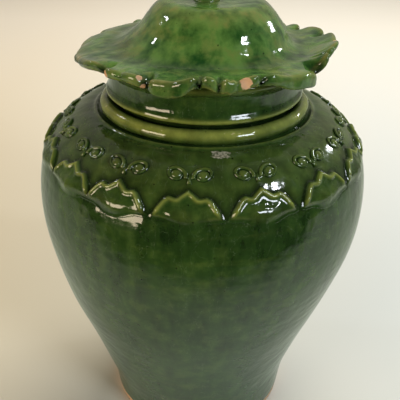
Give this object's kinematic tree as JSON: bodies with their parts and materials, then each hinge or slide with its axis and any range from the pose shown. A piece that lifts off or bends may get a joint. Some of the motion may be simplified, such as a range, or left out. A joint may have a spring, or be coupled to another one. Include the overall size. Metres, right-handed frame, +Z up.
{
  "type": "ceramic crock fermenter",
  "caption": "Wide-shouldered glazed crock with a collar neck, moulded leaf relief, a crowned lid with a waved scalloped brim and pressing weights.",
  "frame": {"origin": "centre of the foot, on the surface that the jar stands on", "axes": "+Z up along the jar's axis, -Y towards the front, +X to the right seen from the front"},
  "size_m": [0.2806, 0.2806, 0.414],
  "materials": {
    "green_glaze": "gloss",
    "bare_clay": "matte"
  },
  "bodies": {
    "jar": {"jar_body": "green_glaze", "neck_collar": "green_glaze", "neck_bead": "green_glaze", "leaf_sprig_01": "green_glaze", "leaf_sprig_02": "green_glaze", "leaf_sprig_03": "green_glaze", "leaf_sprig_04": "green_glaze", "leaf_sprig_05": "green_glaze", "leaf_sprig_06": "green_glaze", "leaf_sprig_07": "green_glaze", "leaf_sprig_08": "green_glaze", "leaf_sprig_09": "green_glaze", "leaf_sprig_10": "green_glaze", "leaf_sprig_11": "green_glaze", "leaf_sprig_12": "green_glaze", "leaf_sprig_13": "green_glaze", "leaf_sprig_14": "green_glaze", "leaf_sprig_15": "green_glaze", "leaf_sprig_16": "green_glaze", "tendril_pair_01": "green_glaze", "tendril_pair_02": "green_glaze", "tendril_pair_03": "green_glaze", "tendril_pair_04": "green_glaze", "tendril_pair_05": "green_glaze", "tendril_pair_06": "green_glaze", "tendril_pair_07": "green_glaze", "tendril_pair_08": "green_glaze", "tendril_pair_09": "green_glaze", "tendril_pair_10": "green_glaze", "tendril_pair_11": "green_glaze", "tendril_pair_12": "green_glaze", "tendril_pair_13": "green_glaze", "tendril_pair_14": "green_glaze", "tendril_pair_15": "green_glaze", "tendril_pair_16": "green_glaze"},
    "lid": {"lid_shell": "green_glaze", "lid_locating_ring": "green_glaze", "lid_knob": "green_glaze"},
    "left_weight": {"weight_left": "bare_clay"},
    "right_weight": {"weight_right": "bare_clay"}
  },
  "joints": [
    {"name": "lid_lift", "type": "slide", "parent": "jar", "child": "lid", "axis": [0, 0, 1], "range_m": [0, 0.16]},
    {"name": "left_weight_lift", "type": "slide", "parent": "jar", "child": "left_weight", "axis": [0, 0, 1], "range_m": [0, 0.29]},
    {"name": "right_weight_lift", "type": "slide", "parent": "jar", "child": "right_weight", "axis": [0, 0, 1], "range_m": [0, 0.29]}
  ]
}
